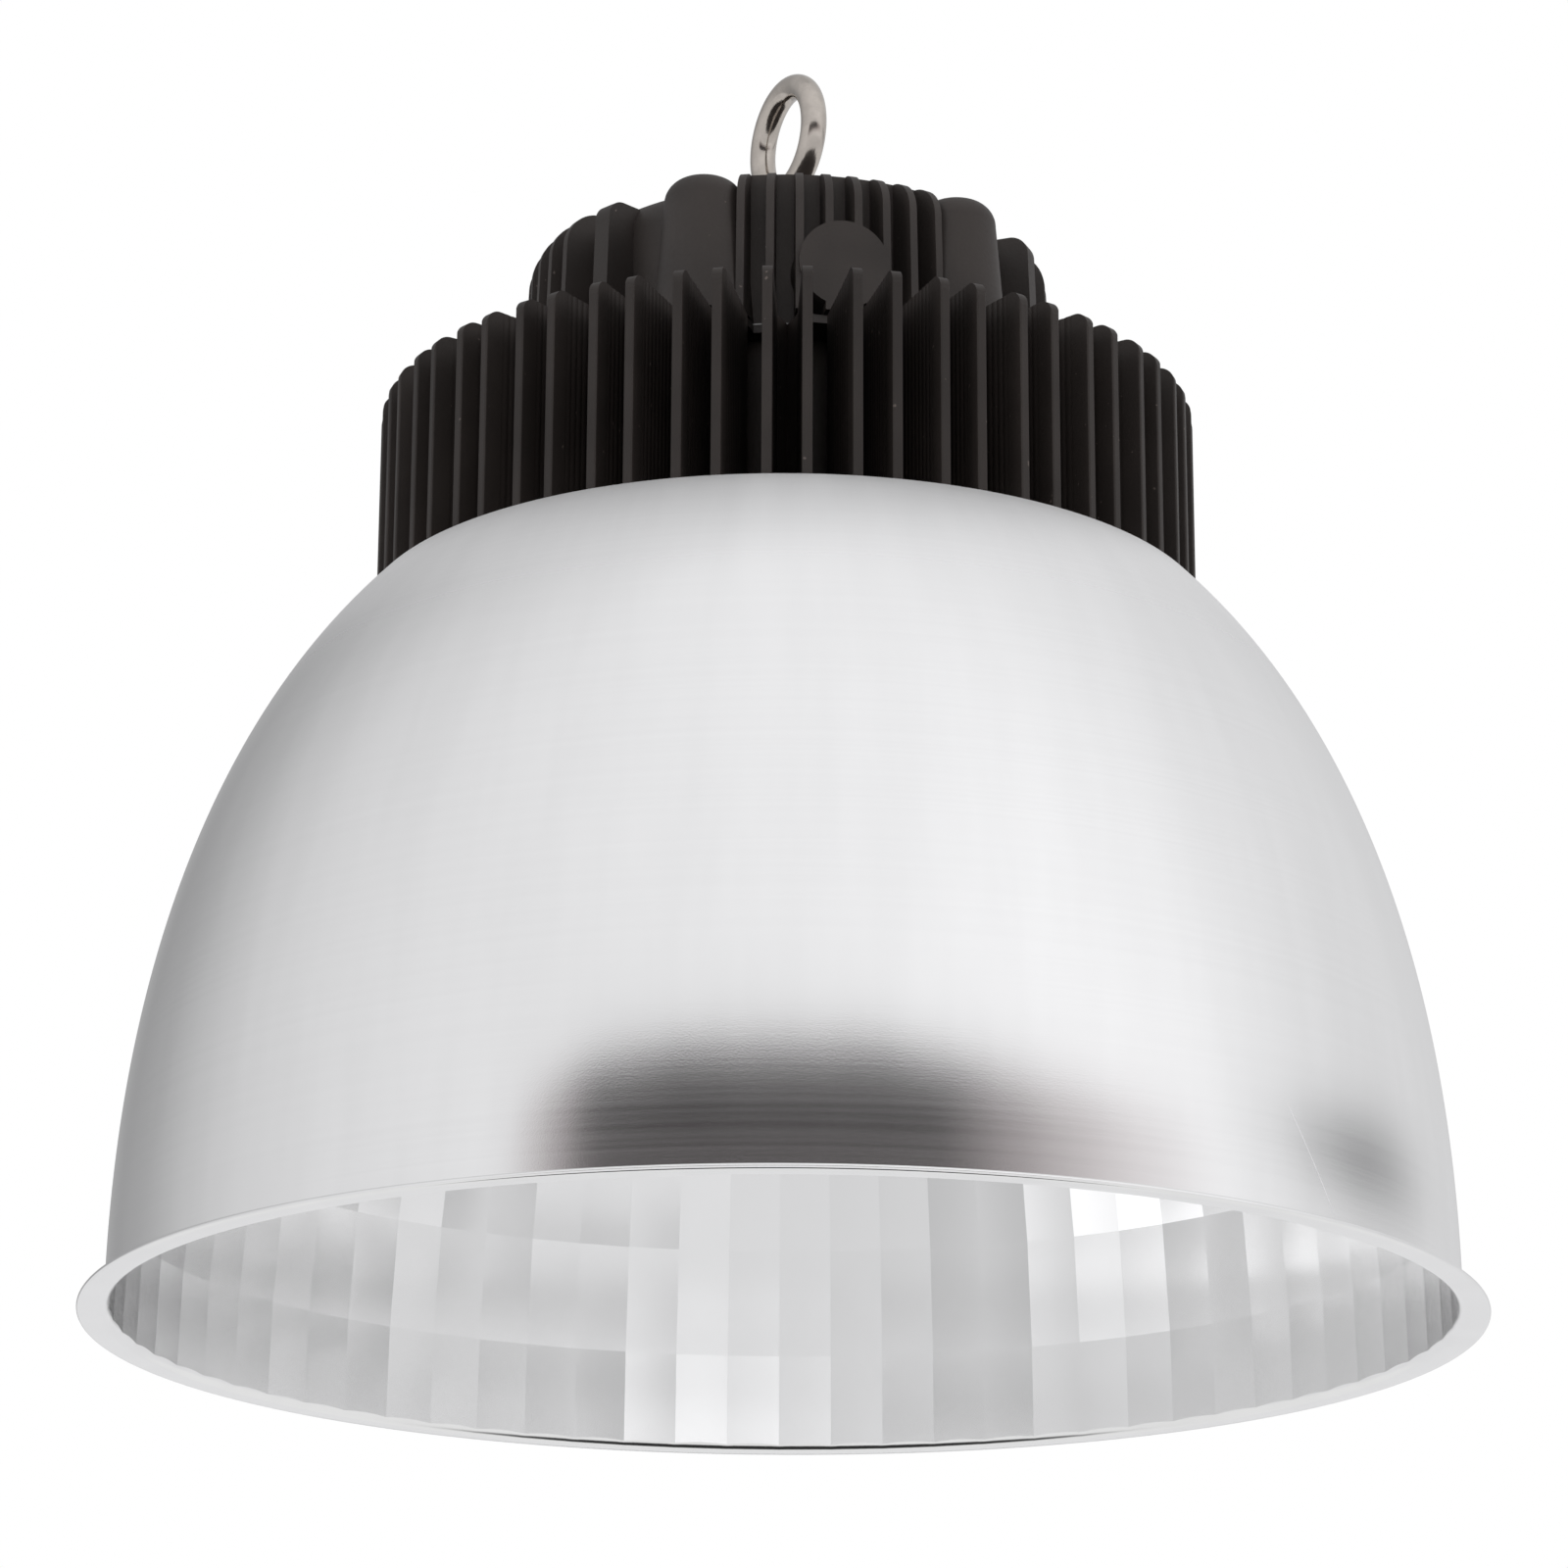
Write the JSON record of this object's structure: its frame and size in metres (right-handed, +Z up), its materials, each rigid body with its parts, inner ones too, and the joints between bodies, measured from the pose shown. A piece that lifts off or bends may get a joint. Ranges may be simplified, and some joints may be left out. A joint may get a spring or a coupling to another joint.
{
  "type": "high bay light",
  "caption": "High bay light: a spun bell reflector, faceted inside, under a black finned heat sink, with the driver in a ribbed housing on top and a steel hanging eye.",
  "frame": {"origin": "on the light's axis, at the lower face of the reflector's rim", "axes": "+Z up the axis to the hanging eye, -Y through the blank cable boss, +Y through the cable gland"},
  "size_m": [0.41, 0.41, 0.4003],
  "materials": {
    "spun_aluminium": "satin spun, faceted and bright inside",
    "black_anodised": "matte black anodised extrusion",
    "black_casting": "matte black powder coat on a die casting",
    "black_plate": "matte black sheet",
    "bright_steel": "polished nickel-plated steel",
    "zinc_steel": "zinc-plated steel",
    "plain_aluminium": "turned aluminium",
    "driver_case": "potted aluminium case",
    "grey_silicone": "silicone",
    "black_rubber": "moulded rubber",
    "black_nylon": "moulded nylon",
    "white_nylon": "moulded nylon",
    "red_wire": "silicone insulated wire",
    "black_wire": "silicone insulated wire",
    "white_ceramic": "ceramic substrate",
    "phosphor": "phosphor in silicone",
    "clear_glass": "toughened clear glass"
  },
  "bodies": {
    "root": {"reflector": "spun_aluminium", "heat_sink": "black_anodised", "driver_housing": "black_casting", "driver_base_plate": "black_plate", "hanging_eye": "bright_steel", "eye_washer": "bright_steel", "eye_lock_nut": "bright_steel", "eye_inner_washer": "zinc_steel", "eye_inner_nut": "zinc_steel", "housing_gasket": "grey_silicone", "housing_screws": "zinc_steel", "base_plate_screws": "zinc_steel", "driver_unit": "driver_case", "driver_screws": "zinc_steel", "terminal_block": "white_nylon", "terminal_block_screws": "zinc_steel", "earth_screw": "zinc_steel", "gland_body": "black_nylon", "gland_seal": "black_rubber", "gland_cap": "black_nylon", "wire_bush": "black_rubber", "led_lead_positive": "red_wire", "led_lead_negative": "black_wire", "thermal_pad": "grey_silicone", "led_substrate": "white_ceramic", "led_emitter": "phosphor", "led_holder": "white_nylon", "led_holder_screws": "zinc_steel", "lens_spacer": "plain_aluminium", "lens_glass": "clear_glass", "lens_gasket": "grey_silicone", "clamp_ring": "plain_aluminium", "clamp_screws": "zinc_steel"}
  },
  "joints": []
}
